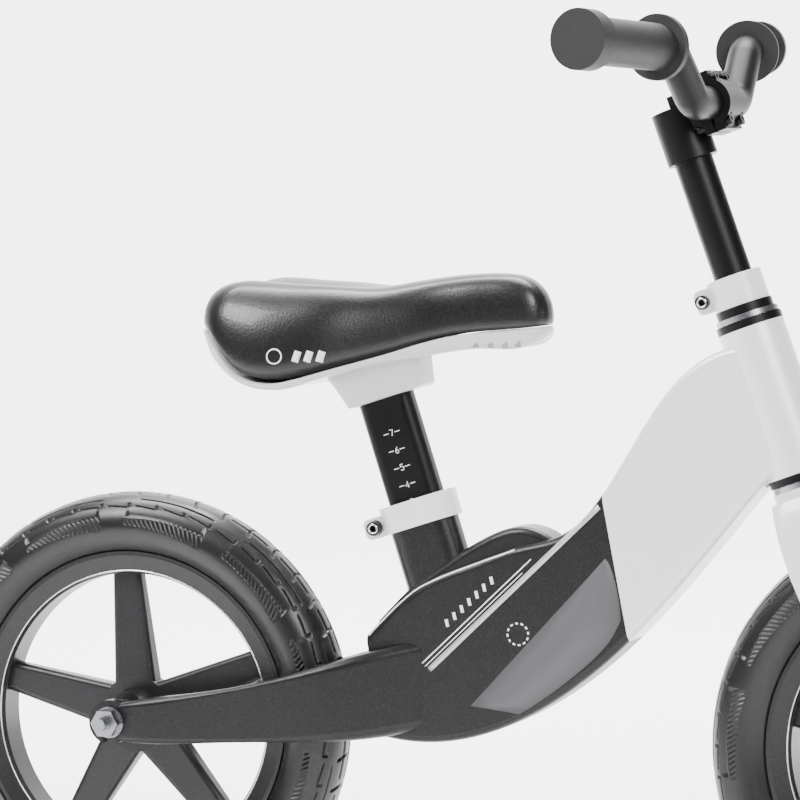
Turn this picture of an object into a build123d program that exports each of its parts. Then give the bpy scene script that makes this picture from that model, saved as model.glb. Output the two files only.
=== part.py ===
"""Balance bike for a small child, as separate pieces on one shared frame.

Millimetres. +X is forwards, +Y is the rider's left, +Z is up, and y = 0 is the centre plane.
The origin is on the ground, midway between the front and rear ends of the tyres.
"""
from build123d import *
from math import cos, radians, sin
import os

# ---- Driving dimensions ----
WHEELBASE = 560
TYRE_R = 152
TYRE_HALF_WIDTH = 26.5
FIT = 0.05  # radial gap of a running or sliding fit
SOFT_GAP = 0.3  # gap between a soft piece and its neighbour
BODY_GAP = 0.4  # gap between faces that turn past each other
BOLT_R = 2.5  # every clamp, stem and saddle screw is an M5
NUT_FLATS = 8
NUT_T = 4
PAST = 1  # how far a cut runs past the face it opens

# wheel and tyre, as (radius, distance from the wheel's centre plane)
RIM_INNER_R = 97
RIM_WELL_R = 102
BEAD_SEAT_R = 106
FLANGE_R = 112.5
RIM_HALF_WIDTH = 17.5
RIM_INNER_HALF = 11
RIM_LINE_HALF = 14
WELL_HALF = 7
WELL_SHOULDER_HALF = 10
BEAD_HALF = 9
FLANGE_T = 2.8
CAVITY_R = FLANGE_R - 2.5
BEAD_GAP = 0.3
LIP_GAP = 0.2
LIP_RISE = 0.6
TREAD_T = 4.3
TYRE_WALL_T = 3.3
TUBE_WALL_T = 1.5
SPOKES = 5
FIRST_SPOKE_DEG = 23
SPOKE_HUB_WIDTH = 30
SPOKE_RIM_WIDTH = 20
SPOKE_T = 13
SPOKE_ROOT_T = 17
SPOKE_CORNER_R = 4
SPOKE_OVERLAP = 2  # how far each end runs into the hub and the rim
VALVE_DEG = 275
VALVE_R = 2.6
VALVE_GAP = 0.2
VALVE_REACH = 16
VALVE_SHORT = 1.6  # its foot stops this far inside the bead seat
CAP_WALL = 1.5
CAP_REACH = 19
CAP_END_T = 3
CAP_TUBE_L = 10

# hub, bearings and axle
HUB_HALF_WIDTH = 30
AXLE_R = 5
BEARING_T = 8
SLEEVE_R = AXLE_R + 1.5
SLEEVE_GAP = 0.5
INNER_RACE_R = AXLE_R + 2.6
OUTER_RACE_BORE_R = INNER_RACE_R + 2.8
BEARING_R = OUTER_RACE_BORE_R + 2.6
HUB_R = BEARING_R + 5
COLLAR_R = HUB_R + 8
BEARING_BALL_R = 2.1
BEARING_BALLS = 9
GROOVE_GAP = 0.25
SEAL_T = 1
SEAL_INSET = 0.2
DROPOUT_INNER = 46
DROPOUT_T = 8
DROPOUT_R = 15
WASHER_T = 1.6
WASHER_R = AXLE_R + 5.5
SPOT_FACE_R = WASHER_R + 2
AXLE_NUT_T = 8
AXLE_NUT_FLATS = 2 * (AXLE_R + 3.5)
AXLE_THREAD_END = 3  # thread left showing beyond each nut
AXLE_TIP_R = AXLE_R - 0.5
AXLE_TIP_L = 6  # plain turned tip, for a stand or a foot peg

# seat tube, seat post and clamp: the post is oblong, and leans back
SEAT_LEAN_DEG = 18
SEAT_FORWARD = TYRE_R + 49  # clamp's top centre, ahead of the rear axle
SEAT_RISE = 153  # and above it
POST_LONG = 37.5
POST_WIDE = 20
POST_CORNER_R = 7.5
POST_WALL = 2
SEAT_TUBE_WALL = 4.4
SEAT_TUBE_L = 90
CLAMP_T = 3.4
CLAMP_H = 18
CLAMP_LUG = 12
CLAMP_LUG_WIDE = 20
CLAMP_LUG_H = 14
CLAMP_LUG_R = 4
CLAMP_SLOT = 2.5
TUBE_SLOT_L = 45  # the saw cut that lets the seat tube close on the post
TUBE_SLOT_REACH = 10
SEAT_DOWN = 55
SEAT_UP = 30
POST_LEAST_IN = 50  # least length of post in the tube at its highest
POST_BELOW_CLAMP = SEAT_UP + POST_LEAST_IN
POST_PLUG_T = 10
POST_HEAD_T = 16
BLOCK_ABOVE_CLAMP = 70
BLOCK_H = 40
BLOCK_LONG = POST_LONG + 19.5
BLOCK_WIDE = POST_WIDE + 14
BLOCK_FLARE_LONG = 14
BLOCK_FLARE_WIDE = 10
BLOCK_CORNER_R = 7
BLOCK_OFFSET = 4
POST_IN_BLOCK = 18
SCREW_X = 9  # each side of the post's axis
SCREW_L = 16
SCREW_TIP_GAP = 1

# clamp bolt, along its own axis from the clamp's centre plane
BOLT_FAR_END = -12.5
BOLT_NUT_FACE = -14
BOLT_SEAT = 10
BOLT_WASHER_R = 5.3
BOLT_WASHER_T = 1.5
BOLT_HEAD_R = 4.6
BOLT_HEAD_T = 5.5
BOLT_KEY_R = 2
BOLT_KEY_DEPTH = 3

# saddle: (ahead of the clamp's top centre, half width, underside and top above the clamp)
SADDLE_STATIONS = [
    (-137, 50, 106, 132),
    (-116, 64, 91, 142),
    (-71, 69, 82, 144),
    (-11, 46, 98, 144),
    (49, 27, 112, 149),
    (92, 17, 117, 139),
]
SADDLE_BASE_T = 7
SADDLE_BASE_INSET = 2
SADDLE_BASE_CORNER_R = 2.5
SADDLE_CORNER_R = 11
CORNER_SHARE = 0.45  # a corner is at most this share of a section's height

# frame casting: outlines are (ahead of, above) the clamp's top centre
BEAM_HALF = 20
WEB_HALF = 15.5
FRAME_FILLET = 5
BEAM_INSET = 12  # the beam meets the head tube this far inside its ends
BEAM_TOP = [(134, 7), (106, -20), (74, -29), (48, -39), (20, -50), (2, -61), (-21, -82)]
BEAM_BELLY = [(40, -158), (139, -102), (189, -50)]
WEB_BACK = [(-26, -110), (-21, -81), (4, -55), (36, -33)]
WEB_HUMP = [(36, -33), (62, -19), (78, -15.5), (92, -18.5), (101, -24)]
WEB_FOOT = (70, -115)
YOKE_GAP = 20  # from the rear tyre to the yoke's front wall
YOKE_TOP = 62  # above the axle
YOKE_LOW = -6
YOKE_SLANT = 12
TYRE_SIDE_GAP = 5
TYRE_ROUND_GAP = 6
ARM_T = 13
ARM_INNER = 34
ARM_H = 50
ARM_RISE = 22
ARM_CORNER_SHARE = 0.3

# head, fork and handlebar, measured along the steering axis from the fork's crown race
HEAD_ANGLE_DEG = 70
RAKE = 28
FORK_LENGTH = TYRE_R + 38
HEAD_TUBE_L = 100
STEERER_R = 14.3
STEERER_BORE_R = STEERER_R - 1.5
STEERER_SHORT = 2  # its top stops this far below the clamp's
STEERER_SLOT_L = 21
HEAD_BORE_R = STEERER_R + 2.7
HEAD_TUBE_R = HEAD_BORE_R + 5
HEAD_FACE_R = HEAD_TUBE_R + 3
CROWN_H = 26
CUP_H = 5
CUP_SKIRT = 8
CUP_GAP = 1  # from the steerer to the cups
RACE_H = 3.6
RACE_R = HEAD_TUBE_R - 1
HEAD_BALL_R = 2
HEAD_BALLS = 20
HEAD_PITCH_R = HEAD_BORE_R + 1
CUP_GROOVE_GAP = 0.1
SPACER_H = 6
SPACER_R = HEAD_TUBE_R - 3
BAR_CLAMP_H = 20
BAR_CLAMP_T = 4
BAR_CLAMP_SLOT = 2
BAR_CLAMP_LUG = (17, 18, BAR_CLAMP_H - 4)
BAR_CLAMP_LUG_R = 4
BAR_BOLT = (-11, 9, 14)  # tip, seat and head top, along its own axis
BAR_BOLT_HEAD_R = 4.5
BLADE_CORNER_SHARE = 0.35
BAR_R = 11.1
BAR_WALL = 1.6
BAR_HALF_WIDTH = 200
BAR_RISE = 34
BAR_SWEEP = 26
BAR_ABOVE_RACE = 254
BAR_STRAIGHT = 48
BAR_KNEE = (-4, 88)  # ahead of the bar's middle, and out from it
BAR_TIP_LIFT = 4
BAR_BEND_R = 22
BAR_UP = 30
BAR_LEAST_IN = 50  # least length of post in the steerer at its highest
POST_IN_STEERER = BAR_UP + BAR_LEAST_IN
BAR_POST_R = STEERER_BORE_R - FIT
BAR_POST_WALL = 2
BAR_PLUG_T = 8
STEM_REACH = 26
STEM_WALL = 4
STEM_SOCKET_L = 30
STEM_CAP_T = 5
STEM_NECK = 26
STEM_RING_T = 5
STEM_WIDE = 38
STEM_EARS = (14, STEM_WIDE, 40)
STEM_SPLIT = 1.5  # gap between the stem and its faceplate
STEM_BOLT_Y = 13
STEM_BOLT_Z = 14.5
STEM_BOLT = (-13, 7, 11)  # tip, seat and head top, along its own axis
STEM_BOLT_HEAD_R = 4
STEM_BOLT_KEY_R = 1.8
COUNTERBORE_GAP = 0.2
GRIP_L = 100
GRIP_R = 15
GRIP_GUARD_R = GRIP_R + 6
GRIP_GUARD_T = 5
GRIP_END_R = GRIP_R + 4
GRIP_END = (-8, 7)
GRIP_CAP_T = 3

# ---- Places worked out from them ----
AXLE_X = WHEELBASE / 2
RACE_STACK = RACE_H + BODY_GAP + CUP_H
HEAD_TOP = RACE_STACK + HEAD_TUBE_L
UPPER_RACE_Z = HEAD_TOP + CUP_H + BODY_GAP
SPACER_Z = UPPER_RACE_Z + RACE_H
STEERER_TOP = SPACER_Z + SPACER_H + BAR_CLAMP_H
AXLE_NUT_FACE = DROPOUT_INNER + DROPOUT_T + WASHER_T + AXLE_NUT_T
POST_TOP = BLOCK_ABOVE_CLAMP + POST_IN_BLOCK
SEAT_TUBE_LONG = POST_LONG + 2 * (FIT + SEAT_TUBE_WALL)
SEAT_TUBE_WIDE = POST_WIDE + 2 * (FIT + SEAT_TUBE_WALL)
SEAT_TUBE_CORNER = POST_CORNER_R + FIT + SEAT_TUBE_WALL
CLAMP_LUG_X = -SEAT_TUBE_LONG / 2 - CLAMP_LUG / 2
CLAMP_LUG_Z = -CLAMP_H + CLAMP_LUG_H / 2
SEAT_X = -AXLE_X + SEAT_FORWARD
SEAT_Z = TYRE_R + SEAT_RISE

_lean = radians(SEAT_LEAN_DEG)
_head = radians(HEAD_ANGLE_DEG)
SEAT = Plane(
    origin=(SEAT_X, 0, SEAT_Z),
    x_dir=(cos(_lean), 0, sin(_lean)),
    z_dir=(-sin(_lean), 0, cos(_lean)),
)
HEAD = Plane(
    origin=(
        AXLE_X - FORK_LENGTH * cos(_head) - RAKE * sin(_head),
        0,
        TYRE_R + FORK_LENGTH * sin(_head) - RAKE * cos(_head),
    ),
    x_dir=(sin(_head), 0, cos(_head)),
    z_dir=(-cos(_head), 0, sin(_head)),
)


def wheel_plane(side):
    """A wheel's own plane: local z runs to the rider's right, along the axle, and local y is up."""
    return Plane(origin=(side * AXLE_X, 0, TYRE_R), x_dir=(1, 0, 0), z_dir=(0, -1, 0))


def rod(radius, low, high):
    """A round bar along Z from low to high."""
    return Pos(0, 0, low) * Cylinder(radius, high - low, align=(Align.CENTER, Align.CENTER, Align.MIN))


def tube(outer, inner, low, high):
    return rod(outer, low, high) - rod(inner, low - PAST, high + PAST)


def both_sides(piece):
    """A piece and its mirror image across the XY plane."""
    return [piece, mirror(piece, about=Plane.XY)]


def oblong(long, wide, corner, low, high):
    """An upright bar with a rounded oblong section."""
    return Pos(0, 0, low) * extrude(RectangleRounded(long, wide, corner), amount=high - low)


def hex_nut(flats, bore_r, thickness):
    outline = RegularPolygon(flats / 2, 6, major_radius=False) - Circle(bore_r)
    return extrude(outline, amount=thickness)


def save(name, plane, *solids):
    """Places the solids by their plane and writes them as one node."""
    placed = [plane.location * s for piece in solids for s in piece.solids()]
    export_step(Compound(children=placed) if len(placed) > 1 else placed[0], f"parts/{name}.step")


# ---- Wheels ----
def rim():
    half = [
        (RIM_INNER_R, 0),
        (RIM_INNER_R, RIM_INNER_HALF),
        (RIM_INNER_R + 2, RIM_LINE_HALF),
        (FLANGE_R - FLANGE_T, RIM_HALF_WIDTH),
        (FLANGE_R, RIM_HALF_WIDTH),
        (FLANGE_R, RIM_HALF_WIDTH - FLANGE_T),
        (BEAD_SEAT_R, RIM_HALF_WIDTH - FLANGE_T),
        (BEAD_SEAT_R, WELL_SHOULDER_HALF),
        (RIM_WELL_R, WELL_HALF),
    ]
    outline = half + [(r, -z) for r, z in reversed(half[1:])]
    face = make_face(Polyline([(r, 0, z) for r, z in outline], close=True))
    return revolve(face, axis=Axis.Z)


def spoke():
    """One spoke along X, from inside the hub's collar to inside the rim."""
    ends = [
        (HUB_R + SPOKE_OVERLAP, SPOKE_HUB_WIDTH, SPOKE_ROOT_T),
        (RIM_INNER_R + SPOKE_OVERLAP, SPOKE_RIM_WIDTH, SPOKE_T),
    ]
    return loft([Plane.YZ.offset(r) * RectangleRounded(wide, deep, SPOKE_CORNER_R) for r, wide, deep in ends])


def wheel_casting():
    hub = rod(HUB_R, -HUB_HALF_WIDTH, HUB_HALF_WIDTH)
    collar = rod(COLLAR_R, -SPOKE_ROOT_T / 2, SPOKE_ROOT_T / 2)
    casting = rim() + hub + collar
    for i in range(SPOKES):
        casting += Rot(0, 0, FIRST_SPOKE_DEG + i * 360 / SPOKES) * spoke()
    casting -= rod(SLEEVE_R + SLEEVE_GAP, -HUB_HALF_WIDTH, HUB_HALF_WIDTH)
    for seat in both_sides(rod(BEARING_R, HUB_HALF_WIDTH - BEARING_T, HUB_HALF_WIDTH + PAST)):
        casting -= seat
    casting -= valve_turn() * rod(VALVE_R + VALVE_GAP, RIM_INNER_R - PAST, BEAD_SEAT_R)
    return casting


def valve_turn():
    """Turns a piece that stands along Z so that it points outwards at the valve's place."""
    return Rot(0, 0, VALVE_DEG) * Rot(0, 90, 0)


def tyre_cavity(gap):
    """The oval that the inner tube fills, drawn gap smaller all round."""
    radial = (TYRE_R - TREAD_T - CAVITY_R) / 2 - gap
    middle = (TYRE_R - TREAD_T + CAVITY_R) / 2
    return Plane.XZ * Pos(middle, 0) * Ellipse(radial, TYRE_HALF_WIDTH - TYRE_WALL_T - gap)


def tyre():
    shoulder = (FLANGE_R + TYRE_R) / 2 - 3
    lip = RIM_HALF_WIDTH - FLANGE_T - LIP_GAP
    bead_r, lip_r = BEAD_SEAT_R + BEAD_GAP, FLANGE_R + LIP_RISE
    with BuildSketch(Plane.XZ) as section:
        with BuildLine():
            Polyline((bead_r, 0), (bead_r, lip), (lip_r, lip), (lip_r, RIM_HALF_WIDTH))
            Spline(
                (lip_r, RIM_HALF_WIDTH),
                (shoulder, TYRE_HALF_WIDTH),
                (TYRE_R, 0),
                tangents=((0.6, 1), (0, -1)),
            )
            Line((TYRE_R, 0), (bead_r, 0))
        make_face()
        mirror(about=Plane.XZ)
    body = revolve(section.sketch - tyre_cavity(0), axis=Axis.Z)
    return body - tube(FLANGE_R, BEAD_SEAT_R - PAST, -BEAD_HALF, BEAD_HALF)


def inner_tube():
    return revolve(tyre_cavity(SOFT_GAP) - tyre_cavity(SOFT_GAP + TUBE_WALL_T), axis=Axis.Z)


def valve():
    """The valve stem points at the hub, through the rim's well."""
    tip = RIM_INNER_R - VALVE_REACH
    stem = rod(VALVE_R, tip, BEAD_SEAT_R - VALVE_SHORT)
    cap_r = VALVE_R + CAP_WALL
    low = RIM_INNER_R - CAP_REACH
    cap = tube(cap_r, VALVE_R, tip, low + CAP_END_T + CAP_TUBE_L) + rod(cap_r, low, tip)
    return valve_turn() * stem, valve_turn() * cap


def bearing_rings(low, high, groove_r, pitch_r):
    """A race blank with its ball groove cut."""
    middle = HUB_HALF_WIDTH - BEARING_T / 2
    return tube(high, low, HUB_HALF_WIDTH - BEARING_T, HUB_HALF_WIDTH) - Pos(0, 0, middle) * Torus(
        pitch_r, groove_r
    )


def bearings():
    """Inner races, outer races, balls and seals of the two bearings."""
    pitch = (INNER_RACE_R + OUTER_RACE_BORE_R) / 2
    groove = BEARING_BALL_R + GROOVE_GAP
    inner = bearing_rings(AXLE_R, INNER_RACE_R, groove, pitch)
    outer = bearing_rings(OUTER_RACE_BORE_R, BEARING_R, groove, pitch)
    middle = HUB_HALF_WIDTH - BEARING_T / 2
    balls = [
        Rot(0, 0, i * 360 / BEARING_BALLS) * Pos(pitch, 0, side * middle) * Sphere(BEARING_BALL_R)
        for i in range(BEARING_BALLS)
        for side in (-1, 1)
    ]
    face = HUB_HALF_WIDTH - SEAL_INSET
    seal = tube(OUTER_RACE_BORE_R, INNER_RACE_R + SOFT_GAP, face - SEAL_T, face)
    return both_sides(inner), both_sides(outer), balls, both_sides(seal)


def axle_set():
    """Axle, spacers, washers and nuts, outwards from the wheel's centre."""
    thread_end = AXLE_NUT_FACE + AXLE_THREAD_END
    axle = rod(AXLE_R, -thread_end, thread_end)
    axle += rod(AXLE_TIP_R, -thread_end - AXLE_TIP_L, thread_end + AXLE_TIP_L)
    outer = DROPOUT_INNER + DROPOUT_T
    spacer = tube(INNER_RACE_R, AXLE_R, HUB_HALF_WIDTH, DROPOUT_INNER)
    sleeve = tube(SLEEVE_R, AXLE_R, -HUB_HALF_WIDTH + BEARING_T, HUB_HALF_WIDTH - BEARING_T)
    washer = tube(WASHER_R, AXLE_R, outer, outer + WASHER_T)
    nut = Pos(0, 0, outer + WASHER_T) * hex_nut(AXLE_NUT_FLATS, AXLE_R, AXLE_NUT_T)
    return axle, both_sides(spacer) + [sleeve], both_sides(washer), both_sides(nut)


def axle_slot():
    """The open slot that a dropout is slipped over the axle with, opening along local -Y."""
    reach = 2 * DROPOUT_R
    width = 2 * (AXLE_R + FIT)
    block = Pos(0, -reach / 2, 0) * Box(width, reach, 4 * DROPOUT_INNER)
    return block + rod(AXLE_R + FIT, -2 * DROPOUT_INNER, 2 * DROPOUT_INNER)


def write_wheel(name, side):
    plane = wheel_plane(side)
    stem, cap = valve()
    inner, outer, balls, seals = bearings()
    axle, spacers, washers, nuts = axle_set()
    save(f"{name}_wheel", plane, wheel_casting())
    save(f"{name}_tyre", plane, tyre())
    save(f"{name}_inner_tube", plane, inner_tube())
    save(f"{name}_valve", plane, stem)
    save(f"{name}_valve_cap", plane, cap)
    save(f"{name}_bearing_inner_races", plane, *inner)
    save(f"{name}_bearing_outer_races", plane, *outer)
    save(f"{name}_bearing_balls", plane, *balls)
    save(f"{name}_bearing_seals", plane, *seals)
    save(f"{name}_axle", plane, axle)
    save(f"{name}_axle_spacers", plane, *spacers)
    save(f"{name}_axle_washers", plane, *washers)
    save(f"{name}_axle_nuts", plane, *nuts)


# ---- Frame ----
def on_seat(x, z):
    """A point given forwards of and above the clamp's top centre, level with the ground."""
    return (SEAT_X + x, SEAT_Z + z)


def on_head(x, z):
    """A point given across and along the steering axis."""
    p = HEAD.from_local_coords((x, 0, z))
    return (p.X, p.Z)


def slab(lines, half_width):
    """A side outline thickened both ways from the centre plane, with its curved edges rounded."""
    face = make_face(Plane.XZ * Wire(lines))
    body = extrude(face, amount=half_width, both=True)
    curved = body.edges().filter_by(GeomType.BSPLINE)
    return fillet([e for e in curved if abs(abs(e.center().Y) - half_width) < 0.01], FRAME_FILLET)


def beam():
    """The deep diagonal beam, from the head tube down to the yoke, with cheeks beside the seat tube."""
    head_top = on_head(0, HEAD_TOP - BEAM_INSET)
    head_low = on_head(0, RACE_STACK + BEAM_INSET)
    yoke_x = -AXLE_X + TYRE_R + YOKE_GAP
    yoke_top = (yoke_x, TYRE_R + YOKE_TOP)
    yoke_low = (yoke_x + YOKE_SLANT, TYRE_R + YOKE_LOW)
    upper = Spline(head_top, *[on_seat(x, z) for x, z in BEAM_TOP], yoke_top)
    lower = Spline(yoke_low, *[on_seat(x, z) for x, z in BEAM_BELLY], head_low)
    return slab([upper, Line(yoke_top, yoke_low), lower, Line(head_low, head_top)], BEAM_HALF)


def seat_web():
    """The web that carries the seat tube, with the hump ahead of it."""
    back = [on_seat(x, z) for x, z in WEB_BACK]
    hump = [on_seat(x, z) for x, z in WEB_HUMP]
    foot = on_seat(*WEB_FOOT)
    straight = [Line(a, b) for a, b in zip([hump[-1], foot] + back[:-1], [foot] + back)]
    return slab(straight + [Spline(*hump)], WEB_HALF)


def arm():
    """One rear arm, from inside the yoke to its dropout, on the +Y side."""
    yoke_x = TYRE_R + YOKE_GAP
    outer_x = TYRE_R - 24
    stations = [
        (yoke_x + 70, 6, 18, ARM_H + 4),
        (yoke_x + 34, 11, 24, ARM_H + 10),
        (yoke_x + 4, 26, 24, ARM_H + 8),
        (outer_x, ARM_INNER + ARM_T / 2 + 1, 14, ARM_H - 4),
        (60, DROPOUT_INNER + DROPOUT_T / 2 - 5, 12, ARM_H - 16),
        (4, DROPOUT_INNER + DROPOUT_T / 2, DROPOUT_T, DROPOUT_R * 1.6),
    ]
    sections = []
    for x, y, wide, high in stations:
        rise = ARM_RISE * (x / yoke_x) ** 1.5
        plane = Plane(origin=(-AXLE_X + x, y, TYRE_R + rise), x_dir=(0, 1, 0), z_dir=(-1, 0, 0))
        sections.append(plane * RectangleRounded(wide, high, min(wide, high) * ARM_CORNER_SHARE))
    return loft(sections)


def spot_faces(plane):
    """What is machined off a casting so that its lugs are flat where spacers and washers bear."""
    inside = rod(SPOT_FACE_R, -DROPOUT_INNER, DROPOUT_INNER)
    outside = rod(SPOT_FACE_R, DROPOUT_INNER + DROPOUT_T, DROPOUT_INNER + 3 * DROPOUT_T)
    return [plane.location * piece for piece in [inside] + both_sides(outside)]


def dropouts(plane):
    """The two round lugs that hold an axle, joined by nothing."""
    lug = rod(DROPOUT_R, DROPOUT_INNER, DROPOUT_INNER + DROPOUT_T)
    return [plane.location * piece for piece in both_sides(lug)]


def frame():
    rear = wheel_plane(-1)
    body = beam() + seat_web()
    for side in (arm(), mirror(arm(), about=Plane.XZ)):
        body += side
    for lug in dropouts(rear):
        body += lug
    body += HEAD.location * rod(HEAD_TUBE_R, RACE_STACK, HEAD_TOP)
    body += SEAT.location * oblong(SEAT_TUBE_LONG, SEAT_TUBE_WIDE, SEAT_TUBE_CORNER, -SEAT_TUBE_L, 0)
    body -= HEAD.location * rod(HEAD_BORE_R, RACE_STACK - PAST, HEAD_TOP + PAST)
    body -= HEAD.location * rod(HEAD_FACE_R, RACE_STACK - 2 * CUP_H, RACE_STACK)
    body -= HEAD.location * rod(HEAD_FACE_R, HEAD_TOP, HEAD_TOP + 2 * CUP_H)
    bore_depth = POST_BELOW_CLAMP + SEAT_DOWN + POST_PLUG_T / 2
    bore_corner = POST_CORNER_R + FIT
    body -= SEAT.location * oblong(POST_LONG + 2 * FIT, POST_WIDE + 2 * FIT, bore_corner, -bore_depth, PAST)
    saw_cut = Box(2 * TUBE_SLOT_REACH, CLAMP_SLOT, 2 * TUBE_SLOT_L)
    body -= SEAT.location * Pos(-SEAT_TUBE_LONG / 2, 0, 0) * saw_cut
    for cut in spot_faces(rear):
        body -= cut
    body -= rear.location * axle_slot()
    side_gap = TYRE_HALF_WIDTH + TYRE_SIDE_GAP
    return body - rear.location * rod(TYRE_R + TYRE_ROUND_GAP, -side_gap, side_gap)


# ---- Seat clamp ----
def seat_clamp():
    """A band round the seat tube, split at the back, with an eared lug for its bolt."""
    corner = SEAT_TUBE_CORNER + CLAMP_T
    long, wide = SEAT_TUBE_LONG + 2 * CLAMP_T, SEAT_TUBE_WIDE + 2 * CLAMP_T
    lug = Pos(CLAMP_LUG_X, 0, CLAMP_LUG_Z) * Box(CLAMP_LUG + 2 * CLAMP_T, CLAMP_LUG_WIDE, CLAMP_LUG_H)
    lug = fillet(lug.edges().filter_by(Axis.Y), CLAMP_LUG_R)
    band = oblong(long, wide, corner, -CLAMP_H, 0) + lug
    band -= oblong(SEAT_TUBE_LONG, SEAT_TUBE_WIDE, SEAT_TUBE_CORNER, -CLAMP_H - PAST, PAST)
    band -= Pos(CLAMP_LUG_X - 2, 0, 0) * Box(CLAMP_LUG + 3 * CLAMP_T, CLAMP_SLOT, 3 * CLAMP_H)
    return band - clamp_bolt_place() * rod(BOLT_R + FIT, -CLAMP_LUG_WIDE, CLAMP_LUG_WIDE)


def clamp_bolt_place():
    return Pos(CLAMP_LUG_X - 1, 0, CLAMP_LUG_Z) * Rot(90, 0, 0)


def clamp_bolt():
    """A socket-headed bolt whose head stands on the washer."""
    seat = BOLT_SEAT + BOLT_WASHER_T
    top = seat + BOLT_HEAD_T
    head = rod(BOLT_HEAD_R, seat, top) - rod(BOLT_KEY_R, top - BOLT_KEY_DEPTH, top + PAST)
    return clamp_bolt_place() * (rod(BOLT_R, BOLT_FAR_END, seat) + head)


def write_seat_clamp():
    place = clamp_bolt_place()
    washer = tube(BOLT_WASHER_R, BOLT_R, BOLT_SEAT, BOLT_SEAT + BOLT_WASHER_T)
    save("seat_clamp", SEAT, seat_clamp())
    save("seat_clamp_bolt", SEAT, clamp_bolt())
    save("seat_clamp_washer", SEAT, place * washer)
    save("seat_clamp_nut", SEAT, place * Pos(0, 0, BOLT_NUT_FACE) * hex_nut(NUT_FLATS, BOLT_R, NUT_T))


# ---- Seat ----
def seat_post():
    outside = oblong(POST_LONG, POST_WIDE, POST_CORNER_R, -POST_BELOW_CLAMP, POST_TOP)
    return outside - post_insert(-POST_BELOW_CLAMP - PAST, POST_TOP + PAST)


def post_insert(low, high):
    """A plug that fills the seat post's inside between two heights."""
    long, wide = POST_LONG - 2 * POST_WALL, POST_WIDE - 2 * POST_WALL
    return oblong(long, wide, POST_CORNER_R - POST_WALL, low, high)


def saddle_loft(inset, corner_r, spans):
    """A straight-sided loft through the saddle's stations, each between its own low and high."""
    sections = []
    for (x, half, _, _), (low, high) in zip(SADDLE_STATIONS, spans):
        origin = (SEAT_X + x, 0, SEAT_Z + (low + high) / 2)
        plane = Plane(origin=origin, x_dir=(0, 1, 0), z_dir=(1, 0, 0))
        corner = min(corner_r, CORNER_SHARE * (high - low))
        sections.append(plane * RectangleRounded(2 * (half - inset), high - low, corner))
    return loft(sections, ruled=True)


def saddle_pad():
    return saddle_loft(0, SADDLE_CORNER_R, [(low, high) for _, _, low, high in SADDLE_STATIONS])


def saddle_shell():
    tops = [low - SOFT_GAP for _, _, low, _ in SADDLE_STATIONS]
    spans = [(top - SADDLE_BASE_T, top) for top in tops]
    return saddle_loft(SADDLE_BASE_INSET, SADDLE_BASE_CORNER_R, spans)


def saddle_block():
    """The block under the shell that takes the seat post, cut off where the pad begins."""
    foot = RectangleRounded(BLOCK_LONG, BLOCK_WIDE, BLOCK_CORNER_R)
    head = RectangleRounded(BLOCK_LONG + BLOCK_FLARE_LONG, BLOCK_WIDE + BLOCK_FLARE_WIDE, BLOCK_CORNER_R + 2)
    planes = Plane.XY.offset(BLOCK_ABOVE_CLAMP), Plane.XY.offset(BLOCK_ABOVE_CLAMP + BLOCK_H)
    block = SEAT.location * Pos(BLOCK_OFFSET, 0, 0) * loft([planes[0] * foot, planes[1] * head])
    block -= Pos(0, 0, -SOFT_GAP) * saddle_pad()
    return block.solids().sort_by(Axis.Z)[0]


def screw_places():
    return [Pos(x, 0, POST_TOP) for x in (-SCREW_X, SCREW_X)]


def saddle_base():
    """The moulded shell under the pad, with the block that takes the seat post."""
    post = oblong(POST_LONG, POST_WIDE, POST_CORNER_R, BLOCK_ABOVE_CLAMP - PAST, POST_TOP)
    base = saddle_shell() + saddle_block() - SEAT.location * post
    for place in screw_places():
        base -= SEAT.location * place * rod(BOLT_R + 2 * FIT, -POST_IN_BLOCK, BLOCK_H)
    return base


def write_seat():
    insert = post_insert(POST_TOP - POST_HEAD_T, POST_TOP)
    for place in screw_places():
        insert -= place * rod(BOLT_R, -SCREW_L + SCREW_TIP_GAP, PAST)
    screws = [place * rod(BOLT_R, -SCREW_L + SCREW_TIP_GAP, SCREW_TIP_GAP) for place in screw_places()]
    save("seat_post", SEAT, seat_post())
    save("seat_post_plug", SEAT, post_insert(-POST_BELOW_CLAMP, -POST_BELOW_CLAMP + POST_PLUG_T))
    save("seat_post_head", SEAT, insert)
    save("saddle_base", Plane.XY, saddle_base())
    save("saddle_pad", Plane.XY, saddle_pad())
    save("saddle_screws", SEAT, *screws)


# ---- Headset ----
def cup(face_z, outward):
    """A cup whose skirt is pressed in the head tube; outward is +1 at the top and -1 below."""
    flange = tube(HEAD_TUBE_R, STEERER_R + CUP_GAP, 0, CUP_H)
    skirt = tube(HEAD_BORE_R, STEERER_R + CUP_GAP, -CUP_SKIRT, 0)
    groove = Pos(0, 0, CUP_H) * Torus(HEAD_PITCH_R, HEAD_BALL_R + CUP_GROOVE_GAP)
    body = flange + skirt - groove
    return Pos(0, 0, face_z) * (body if outward > 0 else Rot(180, 0, 0) * body)


def head_balls(face_z, outward):
    ball = Pos(HEAD_PITCH_R, 0, face_z + outward * (CUP_H - CUP_GROOVE_GAP)) * Sphere(HEAD_BALL_R)
    return [Rot(0, 0, i * 360 / HEAD_BALLS) * ball for i in range(HEAD_BALLS)]


def cone(low, groove_z):
    """A race fixed on the steerer, grooved where its balls run."""
    groove = Pos(0, 0, groove_z) * Torus(HEAD_PITCH_R, HEAD_BALL_R + GROOVE_GAP)
    return tube(RACE_R, STEERER_R, low, low + RACE_H) - groove


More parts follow.
